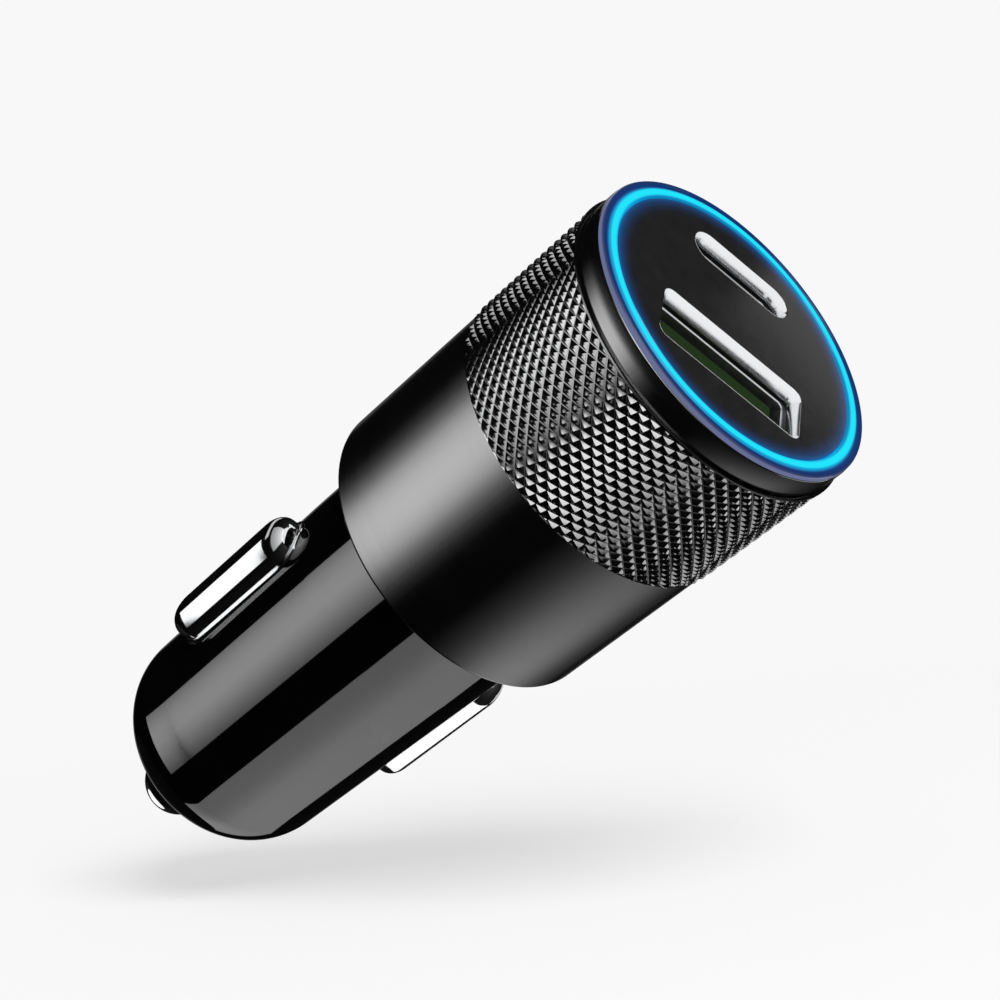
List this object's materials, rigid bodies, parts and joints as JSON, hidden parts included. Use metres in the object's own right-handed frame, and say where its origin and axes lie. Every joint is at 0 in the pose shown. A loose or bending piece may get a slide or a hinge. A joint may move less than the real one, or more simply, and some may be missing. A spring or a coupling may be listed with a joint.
{
  "type": "car usb charger plug",
  "caption": "Cylindrical car charger plug with a knurled metal sleeve, a light ring round its charging ports, sprung side contacts and a sprung tip contact.",
  "frame": {"origin": "on the plug's axis in the shoulder plane, at the sleeve's lower face, where the socket's rim meets the sleeve", "axes": "+Z along the axis to the port face, +X along the ports' long sides and through the side contacts, +Y from the wide port to the small port"},
  "size_m": [0.0268, 0.0268, 0.0759],
  "materials": {
    "barrel_black": "polished moulded plastic",
    "sleeve_black": "black anodised, satin",
    "ring_light": "clear light guide, lit cyan",
    "face_black": "smooth moulded plastic",
    "port_chrome": "polished plating",
    "shell_steel": "stamped and plated",
    "tongue_green": "moulded plastic",
    "tongue_black": "moulded plastic",
    "contact_gold": "gold plated",
    "board_green": "solder resist",
    "led_lens": "clear lens",
    "inductor_grey": "pressed powder",
    "can_aluminium": "drawn can",
    "chip_black": "moulded package",
    "carrier_black": "moulded plastic",
    "terminal_brass": "stamped",
    "contact_chrome": "polished nickel plating",
    "spring_steel": "drawn wire"
  },
  "bodies": {
    "plug_body": {"barrel": "barrel_black", "sleeve": "sleeve_black", "light_ring": "ring_light", "face_plate": "face_black", "wide_port_trim": "port_chrome", "wide_port_shell": "shell_steel", "wide_port_tongue": "tongue_green", "wide_port_contacts": "contact_gold", "small_port_trim": "port_chrome", "small_port_shell": "shell_steel", "small_port_tongue": "tongue_black", "small_port_contacts": "contact_gold", "main_board": "board_green", "port_board": "board_green", "board_pins": "contact_gold", "led_board": "board_green", "ring_leds": "led_lens", "inductor": "inductor_grey", "capacitors": "can_aluminium", "control_chips": "chip_black", "contact_carrier": "carrier_black", "tip_terminal": "terminal_brass", "tip_spring": "spring_steel", "side_spring_left": "spring_steel", "side_spring_right": "spring_steel"},
    "tip": {"tip_contact": "contact_chrome"},
    "side_left": {"side_contact_left": "contact_chrome"},
    "side_right": {"side_contact_right": "contact_chrome"}
  },
  "joints": [
    {"name": "tip_press", "type": "slide", "parent": "plug_body", "child": "tip", "axis": [0, 0, 1], "range_m": [0, 0.004], "stiffness_N_per_m": 1200, "springref_m": -0.003, "deforming": ["tip_spring"]},
    {"name": "side_left_press", "type": "slide", "parent": "plug_body", "child": "side_left", "axis": [1, 0, 0], "range_m": [0, 0.0023], "stiffness_N_per_m": 900, "springref_m": -0.002, "deforming": ["side_spring_left"]},
    {"name": "side_right_press", "type": "slide", "parent": "plug_body", "child": "side_right", "axis": [-1, 0, 0], "range_m": [0, 0.0023], "stiffness_N_per_m": 900, "springref_m": -0.002, "deforming": ["side_spring_right"]}
  ]
}
